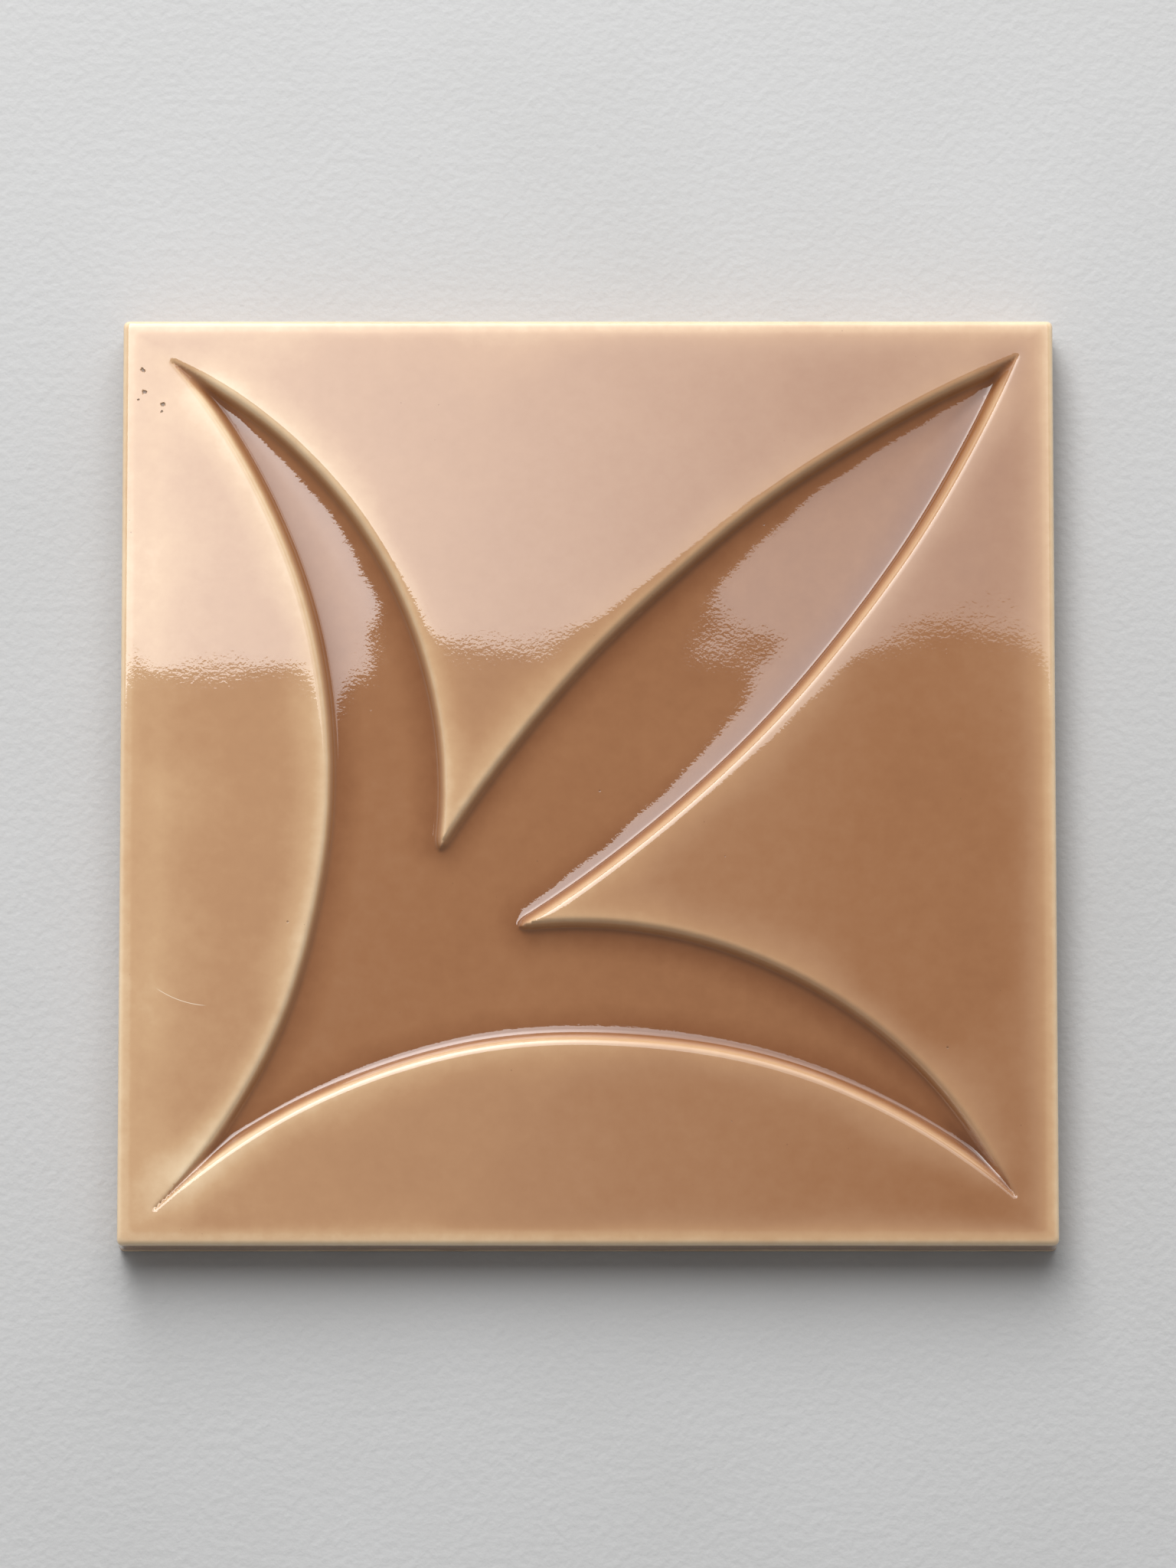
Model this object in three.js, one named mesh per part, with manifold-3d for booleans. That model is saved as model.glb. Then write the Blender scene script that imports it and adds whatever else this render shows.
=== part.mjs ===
// A square relief tile, pressed and fired in one piece and glazed on its face.
// Millimetres. The tile lies on its back: the back is at z = 0 and the face looks up.
// +Y is the top of the picture that the relief makes: one leaf with three blades,
// sunk into the face, that grows out of the lower left corner.

import * as THREE from 'three';
import { mergeVertices } from 'three/addons/utils/BufferGeometryUtils.js';
import Module from 'manifold-3d';

// Body
const tileSide = 150;
const tileThickness = 10;
const cornerRadius = 0.9;
const backBevel = 0.5;

// Edge of the face, all round the tile
const rimRadius = 1.3;
const rimShoulderWidth = 7;
const rimShoulderDrop = 0.5;

// Edge of a raised field, where it rolls down into the sunken leaf
const recessDepth = 2.3;
const wallWidth = 2.6;
const shoulderWidth = 5;
const shoulderDrop = 0.35;

// Tips of the leaf, measured in from the tile's sides
const rootInset = 6;
const sideTipInset = 8;
const sideTipTopInset = 7;
const middleTipInset = 6;

// Where the middle blade leaves the side blades, measured from the root's tip
const forkReach = 75;
const forkHalfWidth = 10;

// How far each edge of a blade bows out of the straight line between its ends
const outerBow = 26;
const innerBow = 14;
const middleBow = 9;

// Fineness of the facets
const arcStep = 6;
const roundSteps = 4;
const profileSteps = 6;

// How far a cutting shape runs past what it cuts
const overrun = 1;

const glazeColour = 0xa57956;
const glazeRoughness = 0.15;

const half = tileSide / 2;
const floorHeight = tileThickness - recessDepth;

const wasm = await Module();
wasm.setup();

// A closed three.js geometry as a solid that can be joined and cut
function toSolid(geometry) {
  const bare = new THREE.BufferGeometry();
  bare.setAttribute('position', geometry.getAttribute('position'));
  bare.setIndex(geometry.getIndex());
  const merged = mergeVertices(bare, 1e-4);
  const corners = merged.getIndex().array;
  const triangles = [];
  for (let i = 0; i < corners.length; i += 3) {
    const [a, b, c] = corners.slice(i, i + 3);
    if (a !== b && b !== c && c !== a) triangles.push(a, b, c);
  }
  return new wasm.Manifold(new wasm.Mesh({
    numProp: 3,
    vertProperties: new Float32Array(merged.getAttribute('position').array),
    triVerts: new Uint32Array(triangles),
  }));
}

function toGeometry(solid) {
  const { vertProperties, triVerts } = solid.getMesh();
  const geometry = new THREE.BufferGeometry();
  geometry.setAttribute('position', new THREE.BufferAttribute(vertProperties, 3));
  geometry.setIndex(new THREE.BufferAttribute(triVerts, 1));
  geometry.computeVertexNormals();
  return geometry;
}

// Numbers from 0 to 1 in equal steps
function steps(count) {
  return Array.from({ length: count + 1 }, (_, i) => i / count);
}

// Height of the face at a distance in from the tile's side: a quarter round, then a
// shoulder that eases up to the top
function rimHeight(inset) {
  const left = Math.max(0, 1 - inset / rimShoulderWidth);
  const into = Math.max(0, rimRadius - inset);
  const round = rimRadius - Math.sqrt(rimRadius ** 2 - into ** 2);
  return tileThickness - rimShoulderDrop * left ** 2 - round;
}

// The tile's section from side to side, as an outline in x and height
function sectionShape() {
  const round = steps(roundSteps).map((t) => rimRadius * (1 - Math.cos((t * Math.PI) / 2)));
  const shoulder = steps(roundSteps).slice(1)
    .map((t) => rimRadius + t * (rimShoulderWidth - rimRadius));
  const rise = [...round, ...shoulder].map((inset) => new THREE.Vector2(half - inset, rimHeight(inset)));
  const right = [new THREE.Vector2(half - backBevel, 0), new THREE.Vector2(half, backBevel), ...rise];
  const left = right.map((p) => new THREE.Vector2(-p.x, p.y)).reverse();
  return new THREE.Shape([...right, ...left]);
}

// The tile's outline from above, a square with rounded corners
function planShape() {
  const shape = new THREE.Shape();
  const inner = half - cornerRadius;
  shape.absarc(inner, inner, cornerRadius, 0, Math.PI / 2);
  shape.absarc(-inner, inner, cornerRadius, Math.PI / 2, Math.PI);
  shape.absarc(-inner, -inner, cornerRadius, Math.PI, 1.5 * Math.PI);
  shape.absarc(inner, -inner, cornerRadius, 1.5 * Math.PI, 2 * Math.PI);
  return shape;
}

// The whole tile before the leaf is sunk: the same section both ways, inside the plan
function blank() {
  const length = tileSide + 2 * overrun;
  const alongY = new THREE.ExtrudeGeometry(sectionShape(), { depth: length, bevelEnabled: false });
  alongY.translate(0, 0, -length / 2).rotateX(Math.PI / 2);
  const alongX = alongY.clone().rotateZ(Math.PI / 2);
  const plan = new THREE.ExtrudeGeometry(planShape(), {
    depth: tileThickness + 2 * overrun,
    bevelEnabled: false,
    curveSegments: roundSteps,
  });
  plan.translate(0, 0, -overrun);
  return toSolid(alongY).intersect(toSolid(alongX)).intersect(toSolid(plan));
}

// The circle whose arc runs from p to q and bows out by bow to the left of that way,
// or to the right when bow is negative
function bowedCircle(p, q, bow) {
  const chord = q.clone().sub(p);
  const depth = Math.abs(bow);
  const radius = (chord.lengthSq() / 4 + depth ** 2) / (2 * depth);
  const side = new THREE.Vector2(-chord.y, chord.x).normalize().multiplyScalar(Math.sign(bow));
  const centre = p.clone().add(q).divideScalar(2).addScaledVector(side, depth - radius);
  return { centre, radius };
}

// Height of the relief at a distance past a field's edge: over the shoulder, which lies
// inside the edge, and down a wall that is an S in section
function edgeHeight(past) {
  const over = Math.max(0, 1 + Math.min(0, past) / shoulderWidth);
  const down = Math.min(1, Math.max(0, past / wallWidth));
  const wallDrop = recessDepth - shoulderDrop;
  return tileThickness - shoulderDrop * over ** 2 - wallDrop * down ** 2 * (3 - 2 * down);
}

// That section as points, from the top of the field to the foot of the wall
function edgeProfile() {
  const shoulder = steps(roundSteps).map((t) => -shoulderWidth * (1 - t));
  const wall = steps(profileSteps).slice(1).map((t) => wallWidth * t);
  return [...shoulder, ...wall].map((past) => ({ past, height: edgeHeight(past) }));
}

// A profile of radius and height, turned about the circle's centre
function turned(profile, circle) {
  const segments = Math.ceil((2 * Math.PI * circle.radius) / arcStep);
  const geometry = new THREE.LatheGeometry(profile, segments);
  geometry.rotateX(Math.PI / 2).translate(circle.centre.x, circle.centre.y, 0);
  return toSolid(geometry);
}

// What an arc takes away where the sunken side is inside its circle
function bowl(circle) {
  const wall = edgeProfile().reverse()
    .map(({ past, height }) => new THREE.Vector2(circle.radius - past, height));
  const brim = circle.radius + shoulderWidth;
  const top = tileThickness + overrun;
  return turned([
    new THREE.Vector2(0, floorHeight),
    ...wall,
    new THREE.Vector2(brim, top),
    new THREE.Vector2(0, top),
  ], circle);
}

// What an arc keeps where the raised field is inside its circle
function dome(circle) {
  const wall = edgeProfile().reverse()
    .map(({ past, height }) => new THREE.Vector2(circle.radius + past, height));
  const foot = circle.radius + wallWidth;
  const neck = circle.radius - shoulderWidth;
  const base = floorHeight - overrun;
  const top = tileThickness + 2 * overrun;
  return turned([
    new THREE.Vector2(0, base),
    new THREE.Vector2(foot, base),
    ...wall,
    new THREE.Vector2(neck, top),
    new THREE.Vector2(0, top),
  ], circle);
}

// The same circle on the other side of the leaf's axis, the diagonal of the tile
function mirrored({ centre, radius }) {
  return { centre: new THREE.Vector2(centre.y, centre.x), radius };
}

// The leaf as a cutting shape
function leafCutter() {
  const root = new THREE.Vector2(rootInset - half, rootInset - half);
  const sideTip = new THREE.Vector2(sideTipInset - half, half - sideTipTopInset);
  const middleTip = new THREE.Vector2(half - middleTipInset, half - middleTipInset);
  const along = forkReach / Math.SQRT2;
  const across = forkHalfWidth / Math.SQRT2;
  const fork = root.clone().add(new THREE.Vector2(along - across, along + across));

  const outer = bowedCircle(root, sideTip, -outerBow);
  const inner = bowedCircle(sideTip, fork, innerBow);
  const middle = bowedCircle(fork, middleTip, middleBow);

  const middleBlade = bowl(middle).intersect(bowl(mirrored(middle)));
  return bowl(inner).add(bowl(mirrored(inner))).add(middleBlade)
    .subtract(dome(outer)).subtract(dome(mirrored(outer)));
}

function tile() {
  const glaze = new THREE.MeshStandardMaterial({
    color: glazeColour,
    roughness: glazeRoughness,
    metalness: 0,
  });
  const mesh = new THREE.Mesh(toGeometry(blank().subtract(leafCutter())), glaze);
  mesh.name = 'tile';
  return mesh;
}

const part = new THREE.Group();
part.add(tile());

export default part;
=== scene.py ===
import math

import bpy
import numpy as np
from mathutils import Matrix, Vector
from mathutils.geometry import delaunay_2d_cdt


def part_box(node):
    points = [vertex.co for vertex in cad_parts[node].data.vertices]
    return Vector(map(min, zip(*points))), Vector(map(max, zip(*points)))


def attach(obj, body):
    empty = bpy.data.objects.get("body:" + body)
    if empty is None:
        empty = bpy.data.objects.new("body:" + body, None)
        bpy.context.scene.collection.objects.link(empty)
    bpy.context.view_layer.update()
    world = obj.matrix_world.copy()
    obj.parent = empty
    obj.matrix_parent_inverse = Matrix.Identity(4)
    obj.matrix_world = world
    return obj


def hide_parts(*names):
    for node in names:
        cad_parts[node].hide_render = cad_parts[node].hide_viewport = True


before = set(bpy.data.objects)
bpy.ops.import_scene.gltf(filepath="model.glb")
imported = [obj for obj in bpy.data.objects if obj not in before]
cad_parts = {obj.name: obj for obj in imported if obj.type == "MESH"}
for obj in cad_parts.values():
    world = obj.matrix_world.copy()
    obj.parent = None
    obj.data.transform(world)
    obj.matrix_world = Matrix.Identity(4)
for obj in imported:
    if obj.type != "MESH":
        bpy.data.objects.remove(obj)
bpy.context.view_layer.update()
low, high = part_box("tile")
print("stage 1: the packed tile is loaded")

# The tile is worked out in millimetres round its own centre, and scaled to metres as it becomes a mesh
mm = 0.001
side = (high.x - low.x) / mm
thickness = (high.z - low.z) / mm
half = side / 2
cornerSoft = 1.1  # how softly the corners of the plan are rounded


# Camera: nearly square on, a little from the side of the lower edge, as the upper row was seen
cameraSettings = {
    "elevation": 81.0,
    "distance": 1.6,  # metres, like the next one
    "frameHeight": 0.252,
    "sensor": 36.0,
}


def placeCamera(values):
    data = bpy.data.cameras.new("camera")
    data.sensor_width = values["sensor"]
    data.lens = values["sensor"] * values["distance"] / values["frameHeight"]
    camera = bpy.data.objects.new("camera", data)
    bpy.context.scene.collection.objects.link(camera)
    tilt = math.radians(values["elevation"])
    back = Vector((0, -math.cos(tilt), math.sin(tilt)))
    aim = Vector((0, 0, thickness * mm / 2))
    camera.location = aim + back * values["distance"]
    camera.rotation_euler = (-back).to_track_quat("-Z", "Y").to_euler()
    bpy.context.scene.camera = camera
    return camera


camera = placeCamera(cameraSettings)
print("stage 2: camera")


# The leaf that is sunk into the face: where its tips and forks lie and how far its edges bow
leaf = {
    "rootInset": 6.0,
    "sideTipInset": 8.0,
    "sideTipTopInset": 7.0,
    "middleTipInset": 6.0,
    "forkReach": 75.0,
    "forkHalfWidth": 10.0,
    "outerBow": 26.0,
    "innerBow": 14.0,
    "middleBow": 9.0,
    "softMeeting": 1.4,  # how softly the slopes from two edges meet
    "meetingLimit": 0.9,  # less than 1, so that no outline moves
    "pointedForks": 0.75,  # how far the foot of a field's point is drawn out, from round to mitred
    "pointedWithin": (1.2, 4.0),
}


def bowedEdge(p, q, bow, sense):
    # the arc from p to q that bows to its left; sense is 1 where the leaf lies inside its circle
    p, q = np.array(p, float), np.array(q, float)
    chord = q - p
    depth = abs(bow)
    radius = (chord @ chord / 4 + depth**2) / (2 * depth)
    left = np.array([-chord[1], chord[0]]) / np.hypot(*chord) * np.sign(bow)
    centre = (p + q) / 2 + left * (depth - radius)
    return {"centre": centre, "radius": radius, "sense": sense, "ends": (p, q)}


def arcDistance(edge, x, y):
    # distance to the arc itself, so round its ends it is the distance to the end
    away = np.stack([x - edge["centre"][0], y - edge["centre"][1]], axis=-1)
    reach = np.hypot(away[..., 0], away[..., 1])
    towards = (edge["ends"][0] + edge["ends"][1]) / 2 - edge["centre"]
    towards = towards / np.hypot(*towards)
    spoke = edge["ends"][0] - edge["centre"]
    within = away @ towards > reach * (spoke @ towards) / edge["radius"]
    toEnds = np.minimum(*[np.hypot(x - end[0], y - end[1]) for end in edge["ends"]])
    return np.where(within, np.abs(reach - edge["radius"]), toEnds)


def mirrorEdge(edge):
    # over the diagonal from the root to the middle tip
    ends = tuple(end[::-1] for end in edge["ends"])
    return {**edge, "centre": edge["centre"][::-1], "ends": ends}


def leafEdges(values):
    root = np.array([values["rootInset"] - half] * 2)
    sideTip = (values["sideTipInset"] - half, half - values["sideTipTopInset"])
    middleTip = [half - values["middleTipInset"]] * 2
    along = values["forkReach"] / math.sqrt(2)
    across = values["forkHalfWidth"] / math.sqrt(2)
    fork = root + (along - across, along + across)
    outer = bowedEdge(root, sideTip, -values["outerBow"], -1)
    inner = bowedEdge(sideTip, fork, values["innerBow"], 1)
    middle = bowedEdge(fork, middleTip, values["middleBow"], 1)
    return [edge for one in (outer, inner, middle) for edge in (one, mirrorEdge(one))]


def ease(value, start, end):
    t = np.clip((value - start) / (end - start), 0, 1)
    return t * t * (3 - 2 * t)


def smoothMin(a, b, soft):
    blend = np.maximum(soft - np.abs(a - b), 0) / soft
    return np.minimum(a, b) - blend**2 * soft / 4


def smoothMax(a, b, soft):
    return -smoothMin(-a, -b, soft)


edges = leafEdges(leaf)


def pastEach(x, y):
    # how far a point lies past each edge, positive on the leaf's side
    return [
        edge["sense"] * (edge["radius"] - np.hypot(x - edge["centre"][0], y - edge["centre"][1]))
        for edge in edges
    ]


def nearer(a, b):
    # the smaller of two distances, blended where they are alike, but never on an outline
    soft = np.minimum(leaf["softMeeting"], leaf["meetingLimit"] * (a + b))
    return smoothMin(a, b, np.maximum(soft, 1e-9))


def drawnOut(rounded, sharp):
    # beyond a field's point its slope keeps a point of its own, which fades further off
    share = leaf["pointedForks"] * (1 - ease(rounded, *leaf["pointedWithin"]))
    return rounded + share * (np.minimum(sharp, rounded) - rounded)


def intoLeaf(x, y):
    # how far a point lies inside the leaf's outline, negative on the raised fields
    outer, outerTwin, inner, innerTwin, middle, middleTwin = pastEach(x, y)
    blades = np.maximum(np.maximum(inner, innerTwin), np.minimum(middle, middleTwin))
    inside = np.minimum(np.minimum(outer, outerTwin), blades) > 0
    mitred = np.maximum(np.maximum(inner, middle), 0), np.maximum(np.maximum(innerTwin, middleTwin), 0)
    outer, outerTwin, inner, innerTwin, middle, middleTwin = [arcDistance(edge, x, y) for edge in edges]
    sunken = nearer(
        nearer(outer, outerTwin),
        nearer(*[
            drawnOut(np.minimum(*pair), sharp)
            for pair, sharp in zip(((inner, middle), (innerTwin, middleTwin)), mitred)
        ]),
    )
    raised = np.minimum(
        np.minimum(outer, outerTwin),
        np.minimum(nearer(inner, middle), nearer(innerTwin, middleTwin)),
    )
    return np.where(inside, sunken, -raised)


def intoFace(x, y):
    # how far a point lies in from the tile's sides
    return smoothMin(half - np.abs(x), half - np.abs(y), cornerSoft)


# Sections, drawn as slopes and summed: the edge of a raised field, then the rim of the face
fieldEdge = {
    "depth": 2.3,
    "reach": 16.0,
    "shoulderSlope": 0.065,
    "shoulderFade": 1.1,
    "broadSlope": 0.009,
    "broadFade": 4.5,
    "arrisRound": 1.6,
    "wallWidth": 1.45,
    "footRound": 1.4,
    "dishSlope": 0.05,
    "dishFade": 3.0,
}
rim = {
    "round": 0.85,
    "bandWidth": 2.1,
    "bandSlope": 0.08,
    "bandRound": 0.7,
    "reach": 16.0,
    "shoulderSlope": 0.03,
    "shoulderFade": 3.5,
    "meetsLeaf": 0.25,  # how softly its slope meets the leaf's
}


def summed(slope, places):
    steps = (slope[1:] + slope[:-1]) / 2 * np.diff(places)
    return np.concatenate([[0.0], np.cumsum(steps)])


def fading(distance, fade, reach):
    # falls off with the distance, and ends without a step at the reach
    near = np.maximum(distance, 0)
    return np.exp(-near / fade) * (1 - ease(near, reach / 2, reach))


def fieldEdgeTable(values, samples=6000):
    reach = values["reach"]
    wallEnd = values["wallWidth"]
    past = np.linspace(-reach, wallEnd + reach, samples)
    shoulder = values["shoulderSlope"] * fading(-past, values["shoulderFade"], reach)
    shoulder += values["broadSlope"] * fading(-past, values["broadFade"], reach)
    dish = values["dishSlope"] * fading(past - wallEnd, values["dishFade"], reach)
    arris = ease(past, -values["arrisRound"] / 2, values["arrisRound"] / 2)
    foot = 1 - ease(past, wallEnd - values["footRound"] / 2, wallEnd + values["footRound"] / 2)
    turn = ease(past, 0, wallEnd)
    gentle = summed(shoulder * (1 - turn) + dish * turn, past)
    steep = summed(arris * foot, past)
    return past, gentle + steep * (values["depth"] - gentle[-1]) / steep[-1]


def rimTable(values, samples=4000):
    into = np.linspace(0, values["reach"], samples)
    bandEnd = values["bandWidth"]
    band = 1 - ease(into, bandEnd - values["bandRound"] / 2, bandEnd + values["bandRound"] / 2)
    shoulder = fading(into, values["shoulderFade"], values["reach"])
    rise = summed(values["bandSlope"] * band + values["shoulderSlope"] * shoulder, into)
    corner = np.maximum(values["round"] - into, 0)
    quarter = values["round"] - np.sqrt(values["round"] ** 2 - corner**2)
    return into, rise[-1] - rise + quarter


edgePlaces, edgeDrops = fieldEdgeTable(fieldEdge)
rimPlaces, rimDrops = rimTable(rim)


# Unevenness of a tile pressed and glazed by hand: long swells, short ripples, a slight wander of the lines
uneven = {
    "seed": 7,
    "swells": {"count": 6, "shortest": 60.0, "longest": 110.0, "height": 0.012},
    "ripples": {"count": 14, "shortest": 8.0, "longest": 20.0, "height": 0.0007},
    "wander": {"count": 6, "shortest": 28.0, "longest": 60.0, "height": 0.045},
    "settledWithin": (0.5, 7.0),  # it comes in over this distance from the tile's sides
    "headroom": 0.14,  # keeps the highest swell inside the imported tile's box
}


def makeWaves(rng, values):
    length = rng.uniform(values["shortest"], values["longest"], values["count"])
    heading = rng.uniform(0, 2 * math.pi, values["count"])
    phase = rng.uniform(0, 2 * math.pi, values["count"])
    pull = 2 * math.pi / length
    height = values["height"] * length / length.mean()
    return pull * np.cos(heading), pull * np.sin(heading), phase, height


def waveHeight(waves, x, y):
    total = np.zeros_like(x)
    for pullX, pullY, phase, height in zip(*waves):
        total += height * np.sin(pullX * x + pullY * y + phase)
    return total


rng = np.random.default_rng(uneven["seed"])
swells = makeWaves(rng, uneven["swells"])
ripples = makeWaves(rng, uneven["ripples"])
wanderX = makeWaves(rng, uneven["wander"])
wanderY = makeWaves(rng, uneven["wander"])


def facePoints(x, y):
    # the finished face over the drawn place x, y
    soft = rim["meetsLeaf"]
    inside = np.maximum(intoFace(x, y), 0)
    leafDrop = np.interp(intoLeaf(x, y), edgePlaces, edgeDrops)
    rimDrop = np.interp(inside, rimPlaces, rimDrops)
    settled = ease(inside, *uneven["settledWithin"])
    swell = (waveHeight(swells, x, y) + waveHeight(ripples, x, y)) * settled
    z = thickness - uneven["headroom"] - smoothMax(leafDrop, rimDrop, soft) + soft / 4 + swell
    return np.stack([
        x + waveHeight(wanderX, x, y) * settled,
        y + waveHeight(wanderY, x, y) * settled,
        z,
    ], axis=-1)


def faceNormals(x, y, step=0.02):
    acrossX = facePoints(x + step, y) - facePoints(x - step, y)
    acrossY = facePoints(x, y + step) - facePoints(x, y - step)
    normal = np.cross(acrossX, acrossY)
    return normal / np.linalg.norm(normal, axis=1, keepdims=True)


# How finely the face is meshed: rows of points run along each edge of the leaf, closest on its wall
fineness = {
    "alongEdge": 0.7,
    "acrossWall": 0.17,  # from row to row on the wall; beside it they spread out
    "spread": 0.26,
    "rowsEachSide": 11,
    "wallMiddle": 0.6,
    "onRow": 1e-6,  # a row's point is kept where it is truly this close to its row
    "seam": 0.34,
    "seamReach": 5.0,
    "fill": 1.25,
    "fillGap": 0.75,
    "cornerSteps": 8,
    "roundLoops": 6,
    "rimLoops": 9,
    "rimReach": 3.4,
    "closest": 0.13,
}


def rowOffsets():
    counts = np.arange(-fineness["rowsEachSide"], fineness["rowsEachSide"] + 1)
    spread = fineness["spread"]
    return fineness["wallMiddle"] + fineness["acrossWall"] * np.sinh(spread * counts) / spread


def edgeRows(edge, offsets, overlap=8.0):
    # points on every row beside one edge, wherever that edge is the one that shapes the face
    spokes = [end - edge["centre"] for end in edge["ends"]]
    angles = [math.atan2(spoke[1], spoke[0]) for spoke in spokes]
    swing = (angles[1] - angles[0] + math.pi) % (2 * math.pi) - math.pi
    extra = math.copysign(overlap / edge["radius"], swing)
    count = int(abs(swing + 2 * extra) * edge["radius"] / fineness["alongEdge"]) + 1
    turn = np.linspace(angles[0] - extra, angles[0] + swing + extra, count)
    reach = edge["radius"] - edge["sense"] * offsets
    x = edge["centre"][0] + np.outer(reach, np.cos(turn)).ravel()
    y = edge["centre"][1] + np.outer(reach, np.sin(turn)).ravel()
    wanted = np.repeat(offsets, count)
    keep = (np.abs(intoLeaf(x, y) - wanted) < fineness["onRow"]) & (intoFace(x, y) > fineness["rimReach"])
    return np.stack([x[keep], y[keep]], axis=-1)


def gridPoints(spacing):
    # a grid whose rows are shifted in turn, for triangles that are nearly even
    count = int(side / spacing)
    steps = (np.arange(count) + 0.5) * side / count - half
    x, y = np.meshgrid(steps, steps)
    x = x + np.where(np.arange(count) % 2, spacing / 4, -spacing / 4)[:, None]
    return x.ravel(), y.ravel()


def seamPoints(offsets):
    # where two edges meet, in the tips and at the forks, no row fits, so a fine grid does
    x, y = gridPoints(fineness["seam"])
    into = intoLeaf(x, y)
    off = np.min([np.abs(into - past) for past in pastEach(x, y)], axis=0)
    meetings = {tuple(end) for edge in edges for end in edge["ends"]}
    gap = np.min([np.hypot(x - end[0], y - end[1]) for end in meetings], axis=0)
    keep = (off > fineness["onRow"]) | (gap < fineness["seamReach"])
    keep &= (into > offsets[0]) & (into < offsets[-1]) & (intoFace(x, y) > fineness["rimReach"])
    return np.stack([x[keep], y[keep]], axis=-1)


def fillPoints(offsets):
    # a wide grid over the open fields and the middle of the leaf
    x, y = gridPoints(fineness["fill"])
    into = intoLeaf(x, y)
    gap = fineness["fillGap"]
    keep = (into < offsets[0] - gap) | (into > offsets[-1] + gap)
    keep &= intoFace(x, y) > fineness["rimReach"] + gap
    return np.stack([x[keep], y[keep]], axis=-1)


def perimeterLoop(inset):
    # one loop round the tile at an inset from its sides, counterclockwise from the upper right corner
    share = np.linspace(-1, 1, fineness["cornerSteps"] + 1)
    base = inset + (1 - np.abs(share)) ** 2 * cornerSoft / 4
    fromRight = half - base - np.maximum(-share, 0) * cornerSoft
    fromTop = half - base - np.maximum(share, 0) * cornerSoft
    straight = np.linspace(fromTop[-1], -fromTop[-1], int(side / fineness["alongEdge"]))[1:-1]
    corner = np.stack([fromRight, fromTop], axis=-1)[::-1]
    topSide = np.stack([straight, np.full_like(straight, half - inset)], axis=-1)
    quarter = np.concatenate([corner, topSide])
    turns = [quarter]
    for _ in range(3):
        previous = turns[-1]
        turns.append(np.stack([-previous[:, 1], previous[:, 0]], axis=-1))
    return np.concatenate(turns)


def thinned(points, closest):
    # drops any point that shares a small cell with an earlier one
    cells = np.floor(points / closest).astype(int)
    _, first = np.unique(cells, axis=0, return_index=True)
    return points[np.sort(first)]


def rimInsets():
    turn = np.linspace(0, math.pi / 2, fineness["roundLoops"] + 1)
    quarter = rim["round"] * (1 - np.cos(turn))
    band = np.linspace(rim["round"], fineness["rimReach"], fineness["rimLoops"] + 1)[1:]
    return np.concatenate([quarter, band])


def facePattern():
    offsets = rowOffsets()
    loops = [perimeterLoop(inset) for inset in rimInsets()]
    inner = np.concatenate([
        *[edgeRows(edge, offsets) for edge in edges],
        seamPoints(offsets),
        fillPoints(offsets),
    ])
    return loops, thinned(inner, fineness["closest"])


def triangulated(border, inner):
    # triangles over all the points, inside the border; the loops outside it are joined as quads
    points = np.concatenate([border, inner])
    ring = list(range(len(border)))
    insideOnly, closeEnough, wantSources = 1, 1e-7, False
    made = delaunay_2d_cdt([Vector(p) for p in points], [], [ring], insideOnly, closeEnough, wantSources)
    return np.array([list(p) for p in made[0]]), [list(face) for face in made[2]]


loops, inner = facePattern()
places, triangles = triangulated(loops[-1], inner)
print("stage 3: face pattern,", len(places), "points and", len(triangles), "triangles")


# Sides and back: the sides very slightly hollow as pressed, by an amount that varies round the tile
body = {
    "sideLevels": 8,
    "sideHollow": 0.12,
    "hollowAlongX": (0.11, 1.3),
    "hollowAlongY": (0.13, 0.4),
    "backBevel": 0.5,
    "backSpacing": 5.0,
    "backGap": 2.0,
}


def sideLoops(border, topHeight):
    # loops down the sides, round the bevel and onto the back
    outward = border / np.hypot(*border.T)[:, None]
    (pullX, phaseX), (pullY, phaseY) = body["hollowAlongX"], body["hollowAlongY"]
    wave = 0.5 + 0.5 * np.sin(border[:, 0] * pullX + phaseX) * np.cos(border[:, 1] * pullY + phaseY)
    made = []
    for share in np.linspace(0, 1, body["sideLevels"] + 1)[1:]:
        hollow = body["sideHollow"] * math.sin(math.pi * share) * wave
        z = topHeight * (1 - share) + body["backBevel"] * share
        made.append(np.column_stack([border - outward * hollow[:, None], z]))
    bevel = perimeterLoop(body["backBevel"])
    made.append(np.column_stack([bevel, np.zeros(len(bevel))]))
    return made


def backPoints():
    x, y = gridPoints(body["backSpacing"])
    keep = intoFace(x, y) > body["backBevel"] + body["backGap"]
    return np.stack([x[keep], y[keep]], axis=-1)


def joinLoops(first, second):
    # quads between two loops of vertex numbers, the second lying outside and below the first
    after = np.roll(first, -1)
    return np.stack([first, second, np.roll(second, -1), after], axis=-1).tolist()


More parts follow.
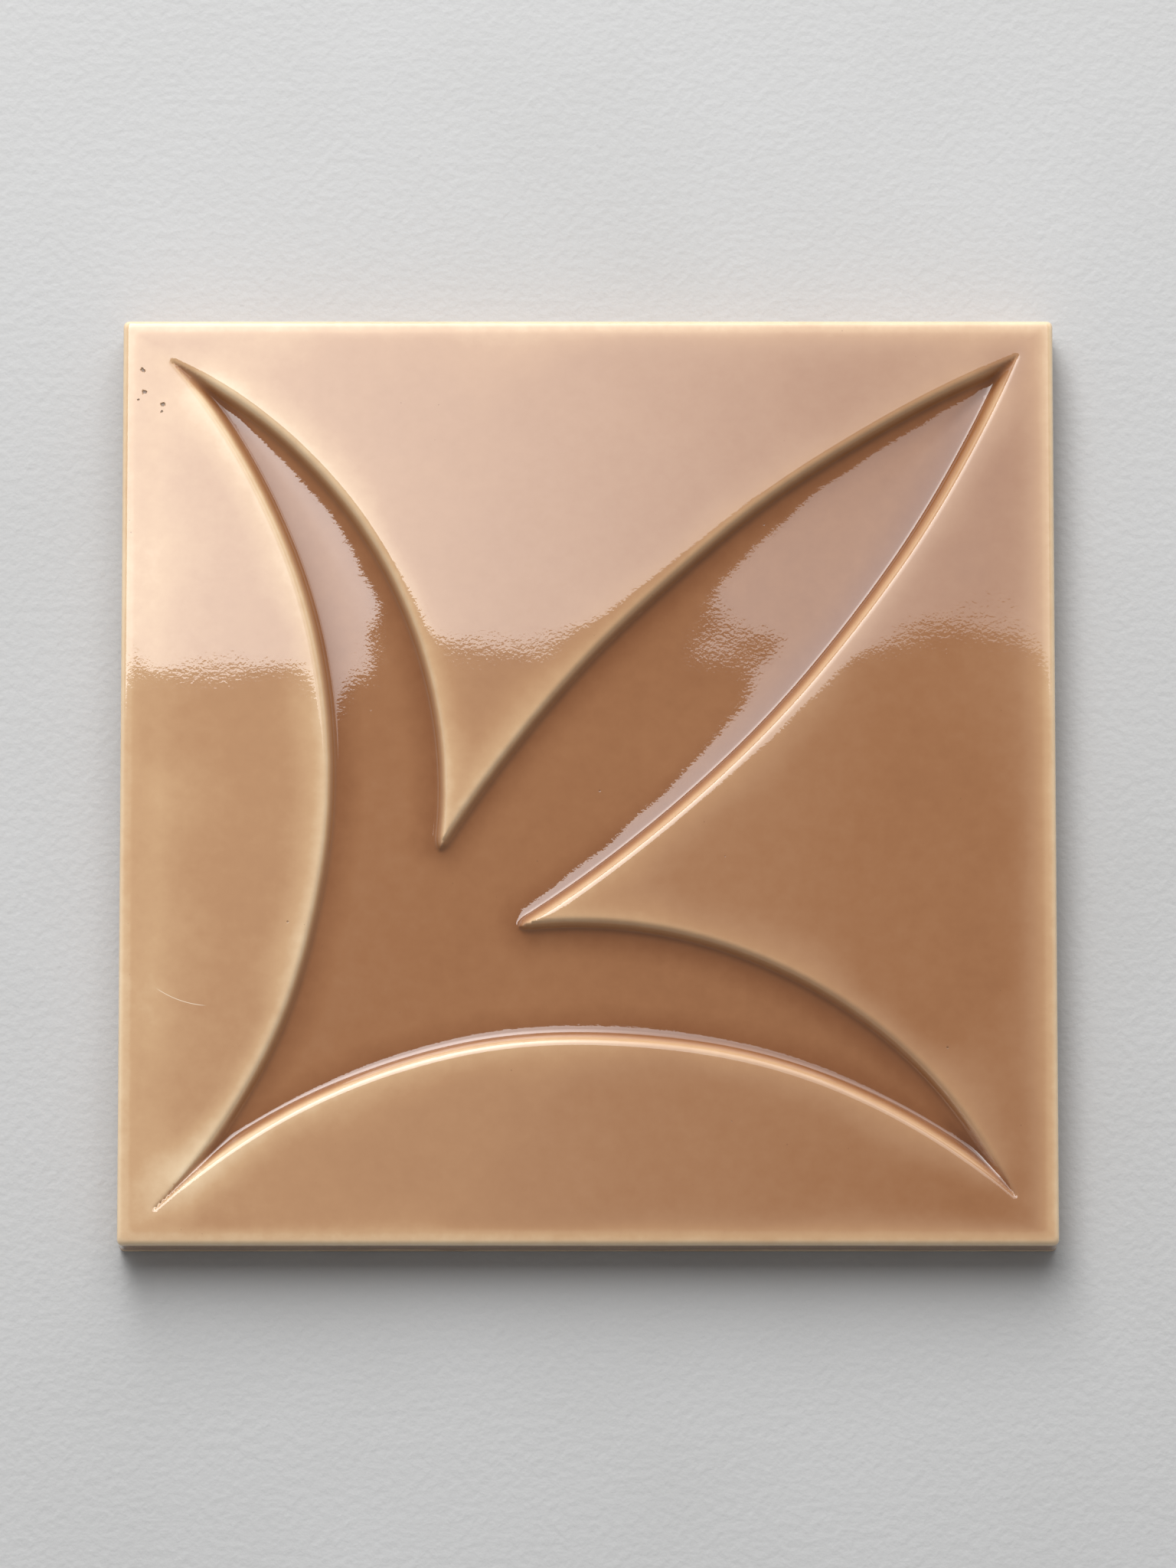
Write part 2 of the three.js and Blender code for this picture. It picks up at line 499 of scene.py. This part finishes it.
def buildTile():
    # the face first, then loop after loop over the rim, down the sides and onto the back
    count = len(loops[0])
    plan = np.concatenate([places, *loops[-2::-1]])
    facePart = facePoints(plan[:, 0], plan[:, 1])
    sides = sideLoops(loops[0], facePart[-count:, 2])
    backPlaces, backTriangles = triangulated(sides[-1][:, :2], backPoints())
    backInner = backPlaces[count:]
    backPart = np.column_stack([backInner, np.zeros(len(backInner))])
    points = np.concatenate([facePart, *sides, backPart])
    # the numbers of each loop's points, from the face's border to the loop on the back
    starts = len(places) + count * np.arange(len(loops) - 1 + len(sides))
    numbers = [np.arange(start, start + count) for start in (0, *starts)]
    backNumbers = np.concatenate([numbers[-1], np.arange(len(points) - len(backInner), len(points))])
    faces = list(triangles)
    for first, second in zip(numbers, numbers[1:]):
        faces += joinLoops(first, second)
    faces += [[int(backNumbers[i]) for i in reversed(face)] for face in backTriangles]
    return plan, points, faces


plan, points, faces = buildTile()


def setPointValues(mesh, name, values):
    attribute = mesh.attributes.new(name, "FLOAT", "POINT")
    attribute.data.foreach_set("value", values.astype(np.float32))


def setPointNormals(mesh, plan, safeInset=1.4):
    # worked-out normals on the face, Blender's own where the edge turns over
    normals = np.zeros(len(mesh.vertices) * 3, np.float32)
    mesh.vertex_normals.foreach_get("vector", normals)
    normals = normals.reshape(-1, 3)
    inner = np.flatnonzero(intoFace(plan[:, 0], plan[:, 1]) > safeInset)
    normals[inner] = faceNormals(plan[inner, 0], plan[inner, 1])
    attribute = mesh.attributes.new("custom_normal", "FLOAT_VECTOR", "POINT")
    attribute.data.foreach_set("vector", normals.ravel())


# How thick the glaze lies, 1 on an open field: it draws off edges and gathers in creases and tips. The same
# values also carry painted light: paler over the arrises and the tile's edge as a painted highlight, darker
# at the foot of the walls and into the recesses as painted shade
glazeAndLightTable = {
    # distance into the leaf from its outline, and the thickness there; thin and pale over the arris, partly
    # as a painted highlight, thick and dark at the foot and into the recess, partly as painted shade
    "acrossEdge": [(-9.0, 1.0), (-6.5, 0.99), (-5.0, 0.95), (-3.8, 0.88), (-2.5, 0.79), (-1.6, 0.72),
                   (-0.9, 0.65), (-0.4, 0.57), (0.0, 0.50), (0.3, 0.53), (0.55, 0.70), (0.8, 0.98),
                   (1.05, 1.25), (1.4, 1.44), (1.9, 1.51), (3.2, 1.44), (4.6, 1.36), (6.5, 1.27)],
    # distance in from the tile's sides, and the share that is left there; the pale shares over the rim are
    # partly thin glaze and partly a painted highlight along the tile's edge
    "acrossRim": [(0.0, 0.26), (0.4, 0.33), (0.9, 0.47), (1.7, 0.54), (2.0, 0.60), (2.3, 0.86), (3.2, 1.0)],
    "rimWidths": {"left": 5.0, "right": 4.0, "top": 2.6, "bottom": 1.6},  # the paler stretch past the rim
    "rimThinning": 0.37,
    "rimEnd": 2.1,
    # in a tip the thin coat over the edges is brought up towards tipValue
    "tipValue": 1.0,
    "tipShare": 0.7,
    "tipReach": (1.0, 8.0),
    "poolWidth": 1.6,
    "poolDepth": 0.75,
    "poolReach": 3.0,
    "poolLength": 22.0,
    "poolStart": (-0.3, 0.4),
    "acrossDrift": 0.004,  # darker towards the right, for each millimetre across
    "driftFrom": (0.0, 7.0),
    "driftInLeaf": 0.3,
    "driftChange": (-1.0, 1.0),
    "onSides": 0.8,
    "waver": {"count": 8, "shortest": 14.0, "longest": 50.0, "height": 0.12},
    "waverLimits": (0.65, 1.45),
}
waver = makeWaves(rng, glazeAndLightTable["waver"])


def leafTips():
    # the place of each tip, and the two edges that meet in it
    outer, outerTwin, inner, innerTwin, middle, middleTwin = edges
    return [
        (outer["ends"][0], outer, outerTwin),
        (outer["ends"][1], outer, inner),
        (outerTwin["ends"][1], outerTwin, innerTwin),
        (middle["ends"][1], middle, middleTwin),
    ]


def pooled(x, y, tip, first, second):
    # glaze that has gathered between the two walls that come together in a tip
    a, b = arcDistance(first, x, y), arcDistance(second, x, y)
    nearest = np.minimum(a, b)
    middle = np.exp(-(((a - b) / glazeAndLightTable["poolWidth"]) ** 2))
    along = 1 - ease(np.hypot(x - tip[0], y - tip[1]), glazeAndLightTable["poolLength"] / 2, glazeAndLightTable["poolLength"])
    inside = ease(nearest, *glazeAndLightTable["poolStart"]) * np.exp(-nearest / glazeAndLightTable["poolReach"])
    return middle * along * inside


def rimGlazeAndHighlight(x, y, wander):
    # the share of the glaze that stays near the tile's sides, kept low over the rim partly as a painted
    # highlight along the edge
    widths = glazeAndLightTable["rimWidths"]
    insets = {"left": x + half, "right": half - x, "bottom": y + half, "top": half - y}
    thinning = np.max([
        np.exp(-np.maximum(insets[one] - glazeAndLightTable["rimEnd"], 0) / (widths[one] * wander))
        for one in widths
    ], axis=0)
    onRim = np.interp(intoFace(x, y), *zip(*glazeAndLightTable["acrossRim"]))
    return np.minimum(1 - glazeAndLightTable["rimThinning"] * thinning, onRim)


def glazeAndPaintedLight(x, y):
    # the glaze's thickness, which also carries a painted highlight over the arrises and the rim and painted
    # shade at the foot of the walls and into the recesses
    wander = np.clip(1 + waveHeight(waver, x, y), *glazeAndLightTable["waverLimits"])
    into = intoLeaf(x, y)
    runWithPaintedLight = np.interp(np.where(into < 0, into / wander, into), *zip(*glazeAndLightTable["acrossEdge"]))
    tips = leafTips()
    toTip = np.min([np.hypot(x - place[0], y - place[1]) for place, *_ in tips], axis=0)
    nearTip = glazeAndLightTable["tipShare"] * (1 - ease(toTip, *glazeAndLightTable["tipReach"]))
    runWithPaintedLight += np.maximum(glazeAndLightTable["tipValue"] - runWithPaintedLight, 0) * nearTip
    pool = np.max([pooled(x, y, *tip) for tip in tips], axis=0) * (into > 0)
    drift = glazeAndLightTable["acrossDrift"] * x * ease(intoFace(x, y), *glazeAndLightTable["driftFrom"])
    drift *= 1 + (glazeAndLightTable["driftInLeaf"] - 1) * ease(into, *glazeAndLightTable["driftChange"])
    return runWithPaintedLight * rimGlazeAndHighlight(x, y, wander) + glazeAndLightTable["poolDepth"] * pool + drift


def makeTile():
    mesh = bpy.data.meshes.new("reliefTile")
    mesh.from_pydata((points * mm).tolist(), [], faces)
    mesh.shade_smooth()
    # the face gets the glaze's thickness with its painted highlight and painted shade; the sides get a
    # plain value
    glazeWithPaintedLight = np.full(len(points), glazeAndLightTable["onSides"])
    glazeWithPaintedLight[:len(plan)] = glazeAndPaintedLight(plan[:, 0], plan[:, 1])
    setPointValues(mesh, "glazeAndPaintedLight", glazeWithPaintedLight)
    setPointNormals(mesh, plan)
    piece = bpy.data.objects.new("reliefTile", mesh)
    bpy.context.scene.collection.objects.link(piece)
    return piece


tile = makeTile()
print("stage 4: tile mesh,", len(points), "points, highest", round(points[:, 2].max(), 3), "mm")


# Helpers for node trees
def addNode(tree, kind, **values):
    node = tree.nodes.new(kind)
    for name, value in values.items():
        setattr(node, name, value)
    return node


def setInput(tree, socket, value):
    # a value is either a number or another node's output
    if isinstance(value, bpy.types.NodeSocket):
        tree.links.new(value, socket)
    elif value is not None:
        socket.default_value = value


def calc(tree, operation, a, b=None, c=None, clamp=False):
    node = addNode(tree, "ShaderNodeMath", operation=operation, use_clamp=clamp)
    for socket, value in zip(node.inputs, (a, b, c)):
        setInput(tree, socket, value)
    return node.outputs[0]


def vectorCalc(tree, operation, a, b=None, c=None, output="Vector"):
    node = addNode(tree, "ShaderNodeVectorMath", operation=operation)
    for socket, value in zip(node.inputs, (a, b, c)):
        setInput(tree, socket, value)
    return node.outputs[output]


def separated(tree, vector):
    node = addNode(tree, "ShaderNodeSeparateXYZ")
    setInput(tree, node.inputs[0], vector)
    return node.outputs


def mapRange(tree, value, start, end, low=0.0, high=1.0):
    # eases from low to high while the value goes from start to end
    node = addNode(tree, "ShaderNodeMapRange", interpolation_type="SMOOTHSTEP")
    names = "Value", "From Min", "From Max", "To Min", "To Max"
    for name, one in zip(names, (value, start, end, low, high)):
        setInput(tree, node.inputs[name], one)
    return node.outputs["Result"]


def mixed(tree, share, first, second, kind="RGBA"):
    # the node keeps a set of sockets for each kind of value: the two to mix and the result
    a, b, result = {"FLOAT": (2, 3, 0), "RGBA": (6, 7, 2)}[kind]
    node = addNode(tree, "ShaderNodeMix", data_type=kind)
    setInput(tree, node.inputs[0], share)
    setInput(tree, node.inputs[a], first)
    setInput(tree, node.inputs[b], second)
    return node.outputs[result]


def noise(tree, vector, size, detail=2.0, roughness=0.5):
    # size is the width of one blotch, in the vector's own unit
    node = addNode(tree, "ShaderNodeTexNoise")
    setInput(tree, node.inputs["Vector"], vector)
    scale = 1 / size if isinstance(size, float) else calc(tree, "DIVIDE", 1.0, size)
    setInput(tree, node.inputs["Scale"], scale)
    node.inputs["Detail"].default_value = detail
    node.inputs["Roughness"].default_value = roughness
    return node.outputs["Fac"]


def newGroup(name, inputs, outputs):
    group = bpy.data.node_groups.new(name, "ShaderNodeTree")
    for label, kind, value in inputs:
        socket = group.interface.new_socket(label, in_out="INPUT", socket_type=kind)
        if value is not None:
            socket.default_value = value
    for label, kind in outputs:
        group.interface.new_socket(label, in_out="OUTPUT", socket_type=kind)
    source = group.nodes.new("NodeGroupInput").outputs
    result = group.nodes.new("NodeGroupOutput").inputs
    return group, source, result


def placeGroup(tree, group, **values):
    node = addNode(tree, "ShaderNodeGroup", node_tree=group)
    for name, value in values.items():
        setInput(tree, node.inputs[name], value)
    return node


def millimetres(tree):
    where = addNode(tree, "ShaderNodeTexCoord").outputs["Object"]
    scaled = addNode(tree, "ShaderNodeVectorMath", operation="SCALE")
    setInput(tree, scaled.inputs[0], where)
    scaled.inputs["Scale"].default_value = 1 / mm
    return scaled.outputs[0]


def ramp(tree, value, stops):
    node = addNode(tree, "ShaderNodeValToRGB")
    elements = node.color_ramp.elements
    while len(elements) < len(stops):
        elements.new(0.5)
    for element, (place, color) in zip(elements, stops):
        element.position = place
        element.color = (*color, 1)
    setInput(tree, node.inputs[0], value)
    return node.outputs[0]


floatSocket, vectorSocket, colorSocket = "NodeSocketFloat", "NodeSocketVector", "NodeSocketColor"


# How a kiln speck is drawn: the smallest as a share of the largest, and where its soft edge begins
speckShape = {"smallest": 0.45, "softFrom": 0.6}


def specksGroup(values):
    # small round spots, one in some of the cells of a scattered grid
    group, source, result = newGroup(
        "kilnSpecks",
        [("Vector", vectorSocket, None), ("Spacing", floatSocket, 6.0), ("Radius", floatSocket, 0.3),
         ("Share", floatSocket, 0.3)],
        [("Mask", floatSocket)],
    )
    cells = addNode(group, "ShaderNodeTexVoronoi", voronoi_dimensions="3D", feature="F1")
    setInput(group, cells.inputs["Vector"], source["Vector"])
    setInput(group, cells.inputs["Scale"], calc(group, "DIVIDE", 1.0, source["Spacing"]))
    pick = addNode(group, "ShaderNodeSeparateColor")
    setInput(group, pick.inputs[0], cells.outputs["Color"])
    distance = calc(group, "MULTIPLY", cells.outputs["Distance"], source["Spacing"])
    scale = mapRange(group, pick.outputs[1], 0.0, 1.0, values["smallest"], 1.0)
    reach = calc(group, "MULTIPLY", source["Radius"], scale)
    spot = mapRange(group, calc(group, "DIVIDE", distance, reach), values["softFrom"], 1.0, 1.0, 0.0)
    chosen = calc(group, "LESS_THAN", pick.outputs[0], source["Share"])
    setInput(group, result["Mask"], calc(group, "MULTIPLY", spot, chosen))
    return group


kilnSpecks = specksGroup(speckShape)


def speckMask(tree, where, strewn):
    return placeGroup(tree, kilnSpecks, Vector=where, **strewn).outputs["Mask"]


blotchShape = {"detail": 3.0, "roughness": 0.55, "stretch": 3.0}


def blotchesGroup(values):
    # a slow drift about zero; the noise keeps near its middle, so it is stretched
    group, source, result = newGroup(
        "softBlotches",
        [("Vector", vectorSocket, None), ("Size", floatSocket, 20.0), ("Amount", floatSocket, 0.1)],
        [("Value", floatSocket)],
    )
    drift = noise(group, source["Vector"], source["Size"], values["detail"], values["roughness"])
    centred = calc(group, "SUBTRACT", drift, 0.5)
    stretched = calc(group, "MULTIPLY", centred, values["stretch"])
    setInput(group, result["Value"], calc(group, "MULTIPLY", stretched, source["Amount"]))
    return group


softBlotches = blotchesGroup(blotchShape)


def blotches(tree, where, spread):
    return placeGroup(tree, softBlotches, Vector=where, **spread).outputs["Value"]


# Bare fired clay: cream, a little sandy, with fine grog
clay = {
    "pale": (0.66, 0.49, 0.33, 1),
    "warm": (0.50, 0.33, 0.20, 1),
    "patchSize": 16.0,
    "grog": {"Spacing": 2.2, "Radius": 0.28, "Share": 0.35},
    "grogStrength": 0.5,
    "grogColor": (0.28, 0.17, 0.10, 1),
    "grainSize": 0.5,
    "grainHeight": 0.05,
    "noiseMiddle": (0.3, 0.7),  # the range that most of a noise lies in
    "roughness": (0.75, 0.92),
}


def clayGroup(values):
    group, source, result = newGroup(
        "firedClay",
        [("Vector", vectorSocket, None), ("Pale", colorSocket, values["pale"]),
         ("Warm", colorSocket, values["warm"])],
        [("Color", colorSocket), ("Roughness", floatSocket), ("Height", floatSocket)],
    )
    where = source["Vector"]
    patches = mapRange(group, noise(group, where, values["patchSize"], detail=4.0), *values["noiseMiddle"])
    tone = mixed(group, patches, source["Pale"], source["Warm"])
    grog = calc(group, "MULTIPLY", speckMask(group, where, values["grog"]), values["grogStrength"])
    setInput(group, result["Color"], mixed(group, grog, tone, values["grogColor"]))
    grain = noise(group, where, values["grainSize"], detail=3.0, roughness=0.6)
    setInput(group, result["Height"], calc(group, "MULTIPLY", grain, values["grainHeight"]))
    rough = mapRange(group, grain, *values["noiseMiddle"], *values["roughness"])
    setInput(group, result["Roughness"], rough)
    return group


firedClay = clayGroup(clay)


def newMaterial(name):
    material = bpy.data.materials.new(name)
    material.use_nodes = True
    tree = material.node_tree
    return material, tree, tree.nodes["Principled BSDF"]


def bump(tree, height):
    # the height is in millimetres
    node = addNode(tree, "ShaderNodeBump")
    node.inputs["Distance"].default_value = mm
    setInput(tree, node.inputs["Height"], height)
    return node.outputs[0]


glazeFinish = {
    "rampScale": 0.52,  # from the glaze's thickness, with its painted highlight and painted shade, to a place on the ramp
    "stops": [
        (0.00, (0.86, 0.73, 0.58)),
        (0.15, (0.73, 0.545, 0.345)),
        (0.28, (0.54, 0.335, 0.182)),
        (0.40, (0.43, 0.237, 0.121)),
        (0.50, (0.372, 0.194, 0.098)),
        (0.64, (0.298, 0.133, 0.056)),
        (0.78, (0.213, 0.082, 0.030)),
        (1.00, (0.118, 0.040, 0.013)),
    ],
    "broadBlotches": {"Size": 30.0, "Amount": 0.07},
    "fineBlotches": {"Size": 2.2, "Amount": 0.05},
    "roughness": 0.02,
    "ior": 1.65,
    "orangePeelSize": 0.55,
    "orangePeelHeight": 0.0015,
    "broadPeelSize": 1.3,
    "broadPeelHeight": 0.0008,
    "darkSpecks": {"Spacing": 7.0, "Radius": 0.26, "Share": 0.30},
    "tinySpecks": {"Spacing": 3.1, "Radius": 0.17, "Share": 0.40},
    "paleSpecks": {"Spacing": 13.0, "Radius": 0.22, "Share": 0.22},
    # pinholes that show in the photo: place on the face and radius
    "pinholes": [(-71.5, 67.1, 0.40), (-71.2, 63.5, 0.42), (-68.3, 61.5, 0.38), (-72.2, 62.3, 0.20),
                 (-68.4, 60.3, 0.21)],
    "pinholeEdge": (0.5, 1.1),  # where a hole fades out, in shares of its radius
    "pinholeFraySize": 0.5,
    "pinholeFray": 0.6,
    "scratch": {"centre": (-60.0, -21.0), "radius": 15.6, "from": -2.20, "to": -1.62, "width": 0.07},
    "scratchCore": 0.4,  # the share of its width that is full
    "scratchFull": 0.7,  # the share of its length before it fades
    # how strongly each kind of mark shows, and its colour
    "marks": {
        "dark": (0.55, (0.10, 0.045, 0.02, 1)),
        "tiny": (0.35, (0.14, 0.06, 0.03, 1)),
        "pale": (0.60, (0.75, 0.66, 0.52, 1)),
        "holes": (0.75, (0.07, 0.045, 0.035, 1)),
        "scratch": (0.70, (0.80, 0.68, 0.52, 1)),
    },
    "markDepths": {"holes": 0.12, "dark": 0.006},
    "wornRoughness": 0.35,
    "scratchWorn": 0.5,
    "glazeLine": 2.2,  # how high above the back the glaze ends
    "glazeLineWander": 1.6,
    "glazeLineSize": 9.0,
    "glazeLineSoft": 0.12,
    "glazeStep": 0.15,  # how far the bare clay lies below the glaze
}


def frayed(tree, where, values):
    # places shifted by a fine noise, so that a round hole gets a torn edge
    shift = addNode(tree, "ShaderNodeTexNoise")
    setInput(tree, shift.inputs["Vector"], where)
    shift.inputs["Scale"].default_value = 1 / values["pinholeFraySize"]
    return vectorCalc(tree, "MULTIPLY_ADD", shift.outputs["Color"], (values["pinholeFray"],) * 3, where)


def pinholeMask(tree, where, values):
    flat = vectorCalc(tree, "MULTIPLY", frayed(tree, where, values), (1, 1, 0))
    edgeStart, edgeEnd = values["pinholeEdge"]
    total = None
    for x, y, radius in values["pinholes"]:
        gap = vectorCalc(tree, "DISTANCE", flat, (x, y, 0), output="Value")
        spot = mapRange(tree, gap, radius * edgeStart, radius * edgeEnd, 1.0, 0.0)
        total = spot if total is None else calc(tree, "MAXIMUM", total, spot)
    return total


def scratchMask(tree, where, values):
    # a hair-thin arc
    scratch = values["scratch"]
    x, y, _ = separated(tree, vectorCalc(tree, "SUBTRACT", where, (*scratch["centre"], 0)))
    squares = calc(tree, "ADD", calc(tree, "MULTIPLY", x, x), calc(tree, "MULTIPLY", y, y))
    off = calc(tree, "ABSOLUTE", calc(tree, "SUBTRACT", calc(tree, "SQRT", squares), scratch["radius"]))
    line = mapRange(tree, off, scratch["width"] * values["scratchCore"], scratch["width"], 1.0, 0.0)
    middle = (scratch["from"] + scratch["to"]) / 2
    spread = (scratch["to"] - scratch["from"]) / 2
    turned = calc(tree, "ABSOLUTE", calc(tree, "SUBTRACT", calc(tree, "ARCTAN2", y, x), middle))
    ends = mapRange(tree, turned, spread * values["scratchFull"], spread, 1.0, 0.0)
    return calc(tree, "MULTIPLY", line, ends)


def markMasks(tree, where, values):
    # where each kind of mark lies, in the order in which they are laid over the glaze
    return {
        "dark": speckMask(tree, where, values["darkSpecks"]),
        "tiny": speckMask(tree, where, values["tinySpecks"]),
        "pale": speckMask(tree, where, values["paleSpecks"]),
        "holes": pinholeMask(tree, where, values),
        "scratch": scratchMask(tree, where, values),
    }


def glazeColorWithPaintedLight(tree, where, masks, values):
    # the ramp turns the thickness, painted highlight and painted shade included, into colour
    coatWithPaintedLight = addNode(tree, "ShaderNodeAttribute", attribute_name="glazeAndPaintedLight").outputs["Fac"]
    broad = blotches(tree, where, values["broadBlotches"])
    fine = blotches(tree, where, values["fineBlotches"])
    varied = calc(tree, "ADD", coatWithPaintedLight, calc(tree, "ADD", broad, fine))
    color = ramp(tree, calc(tree, "MULTIPLY", varied, values["rampScale"], clamp=True), values["stops"])
    for name, mask in masks.items():
        strength, tone = values["marks"][name]
        color = mixed(tree, calc(tree, "MULTIPLY", mask, strength), color, tone)
    return color


def bareShare(tree, where, values):
    # towards the back the glaze ends in a ragged line and the clay is bare
    ragged = noise(tree, where, values["glazeLineSize"], detail=3.0)
    wander, soft = values["glazeLineWander"], values["glazeLineSoft"]
    line = calc(tree, "MULTIPLY_ADD", ragged, wander * 2, values["glazeLine"] - wander)
    above = calc(tree, "SUBTRACT", separated(tree, where)["Z"], line)
    return mapRange(tree, above, -soft, soft, 1.0, 0.0)


def glazeRelief(tree, where, masks, bare, clayHeight, values):
    peel = noise(tree, where, values["orangePeelSize"], detail=1.0)
    broadPeel = noise(tree, where, values["broadPeelSize"], detail=0.0)
    height = calc(tree, "ADD", calc(tree, "MULTIPLY", peel, values["orangePeelHeight"]),
                  calc(tree, "MULTIPLY", broadPeel, values["broadPeelHeight"]))
    for name, depth in values["markDepths"].items():
        height = calc(tree, "SUBTRACT", height, calc(tree, "MULTIPLY", masks[name], depth))
    sandy = calc(tree, "MULTIPLY", bare, clayHeight)
    return calc(tree, "ADD", height, calc(tree, "MULTIPLY_ADD", bare, -values["glazeStep"], sandy))


def glazeMaterial(values):
    material, tree, shader = newMaterial("caramelGlaze")
    where = millimetres(tree)
    masks = markMasks(tree, where, values)
    bare = bareShare(tree, where, values)
    fired = placeGroup(tree, firedClay, Vector=where).outputs
    color = mixed(tree, bare, glazeColorWithPaintedLight(tree, where, masks, values), fired["Color"])
    setInput(tree, shader.inputs["Base Color"], color)
    scuffed = calc(tree, "MULTIPLY", masks["scratch"], values["scratchWorn"])
    worn = calc(tree, "MAXIMUM", masks["holes"], scuffed)
    gloss = calc(tree, "MULTIPLY_ADD", worn, values["wornRoughness"], values["roughness"])
    setInput(tree, shader.inputs["Roughness"], mixed(tree, bare, gloss, fired["Roughness"], "FLOAT"))
    shader.inputs["IOR"].default_value = values["ior"]
    relief = glazeRelief(tree, where, masks, bare, fired["Height"], values)
    setInput(tree, shader.inputs["Normal"], bump(tree, relief))
    return material


def clayMaterial():
    material, tree, shader = newMaterial("bareClay")
    fired = placeGroup(tree, firedClay, Vector=millimetres(tree)).outputs
    setInput(tree, shader.inputs["Base Color"], fired["Color"])
    setInput(tree, shader.inputs["Roughness"], fired["Roughness"])
    setInput(tree, shader.inputs["Normal"], bump(tree, fired["Height"]))
    return material


def finishTile(piece, bareFacing=-0.2):
    # glaze all over, bare clay on the faces that look down more than bareFacing
    piece.data.materials.append(glazeMaterial(glazeFinish))
    piece.data.materials.append(clayMaterial())
    for face in piece.data.polygons:
        if face.normal.z < bareFacing:
            face.material_index = 1


finishTile(tile)
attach(tile, "root")
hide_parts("tile")
print("stage 5: glaze and clay")


# Floor: pale plain plaster
floorFinish = {
    "size": 2.4,  # metres
    "pale": (0.51, 0.51, 0.505, 1),
    "deep": (0.465, 0.464, 0.455, 1),
    "blotches": {"Size": 60.0, "Amount": 0.5},
    "roughness": 0.85,
    "grainSize": 1.4,
    "grainHeight": 0.16,
}


def makeFloor(values):
    reach = values["size"] / 2
    mesh = bpy.data.meshes.new("plasterFloor")
    corners = [(-reach, -reach, 0), (reach, -reach, 0), (reach, reach, 0), (-reach, reach, 0)]
    mesh.from_pydata(corners, [], [(0, 1, 2, 3)])
    floor = bpy.data.objects.new("plasterFloor", mesh)
    bpy.context.scene.collection.objects.link(floor)
    material, tree, shader = newMaterial("palePlaster")
    where = millimetres(tree)
    drift = calc(tree, "ADD", blotches(tree, where, values["blotches"]), 0.5, clamp=True)
    setInput(tree, shader.inputs["Base Color"], mixed(tree, drift, values["pale"], values["deep"]))
    shader.inputs["Roughness"].default_value = values["roughness"]
    grain = noise(tree, where, values["grainSize"], detail=4.0)
    height = calc(tree, "MULTIPLY", grain, values["grainHeight"])
    setInput(tree, shader.inputs["Normal"], bump(tree, height))
    mesh.materials.append(material)


makeFloor(floorFinish)


# Light: one large window-like panel beyond the top edge, whose lower border is seen in the glaze
panel = {
    # metres: how far above the tile's middle its reflection ends, and its own places
    "reflectionEnds": 0.020,
    "nearHeight": 1.5,
    "farPlace": 1.75,
    "farHeight": 0.62,
    "width": 1.3,
    "radiance": 3.0,
    "tint": (1.0, 1.0, 1.01),
    "leftToRight": (1.8, 0.58),
    "seenPart": (0.36, 0.64),
    "nearToFar": (1.0, 1.5),
    "brighterFrom": (0.08, 0.35),
}


def panelBorders(values, eye):
    # the near border lies where the eye, by way of the glaze, sees the reflection end
    ends = values["reflectionEnds"]
    top = thickness * mm
    nearPlace = ends + (ends - eye.y) * (values["nearHeight"] - top) / (eye.z - top)
    near = Vector((0, nearPlace, values["nearHeight"]))
    return near, Vector((0, values["farPlace"], values["farHeight"]))


def placeAndTurn(near, far):
    # with the lit side towards the tile
    across = Vector((1, 0, 0))
    up = (far - near).normalized()
    facing = across.cross(up)
    if facing.z < 0:
        across, facing = -across, -facing
    turn = Matrix((across, up, facing)).transposed().to_4x4()
    return Matrix.Translation((near + far) / 2) @ turn


def placePanel(values, eye):
    near, far = panelBorders(values, eye)
    depth = (far - near).length
    data = bpy.data.lights.new("windowPanel", "AREA")
    data.shape = "RECTANGLE"
    data.size = values["width"]
    data.size_y = depth
    data.energy = values["radiance"] * math.pi * values["width"] * depth
    data.color = values["tint"]
    data.use_nodes = True
    tree = data.node_tree
    along = separated(tree, addNode(tree, "ShaderNodeNewGeometry").outputs["Parametric"])
    sideways = mapRange(tree, along[0], *values["seenPart"], *values["leftToRight"])
    outwards = mapRange(tree, along[1], *values["brighterFrom"], *values["nearToFar"])
    setInput(tree, tree.nodes["Emission"].inputs["Strength"], calc(tree, "MULTIPLY", sideways, outwards))
    lamp = bpy.data.objects.new("windowPanel", data)
    lamp.matrix_world = placeAndTurn(near, far)
    bpy.context.scene.collection.objects.link(lamp)


# Room: its walls are bright on the panel's side, its ceiling and its other walls are dim
room = {
    "dim": 0.25,
    "bright": 1.25,
    "brightSide": (-0.20, 0.98, 0.0),
    "sideFrom": -0.4,
    "ringHeights": (0.15, 0.65),
    "tint": (0.97, 0.98, 1.0),
}


def makeRoom(values):
    world = bpy.data.worlds.new("studio")
    world.use_nodes = True
    tree = world.node_tree
    background = tree.nodes["Background"]
    background.inputs["Color"].default_value = (*values["tint"], 1)
    direction = addNode(tree, "ShaderNodeTexCoord").outputs["Generated"]
    towards = vectorCalc(tree, "DOT_PRODUCT", direction, values["brightSide"], output="Value")
    walls = mapRange(tree, separated(tree, direction)["Z"], *values["ringHeights"], values["bright"], 0.0)
    facing = mapRange(tree, towards, values["sideFrom"], 1.0)
    setInput(tree, background.inputs["Strength"], calc(tree, "MULTIPLY_ADD", walls, facing, values["dim"]))
    bpy.context.scene.world = world


placePanel(panel, camera.location)
makeRoom(room)
bpy.context.scene.view_settings.view_transform = "Standard"
print("stage 6: floor and light")
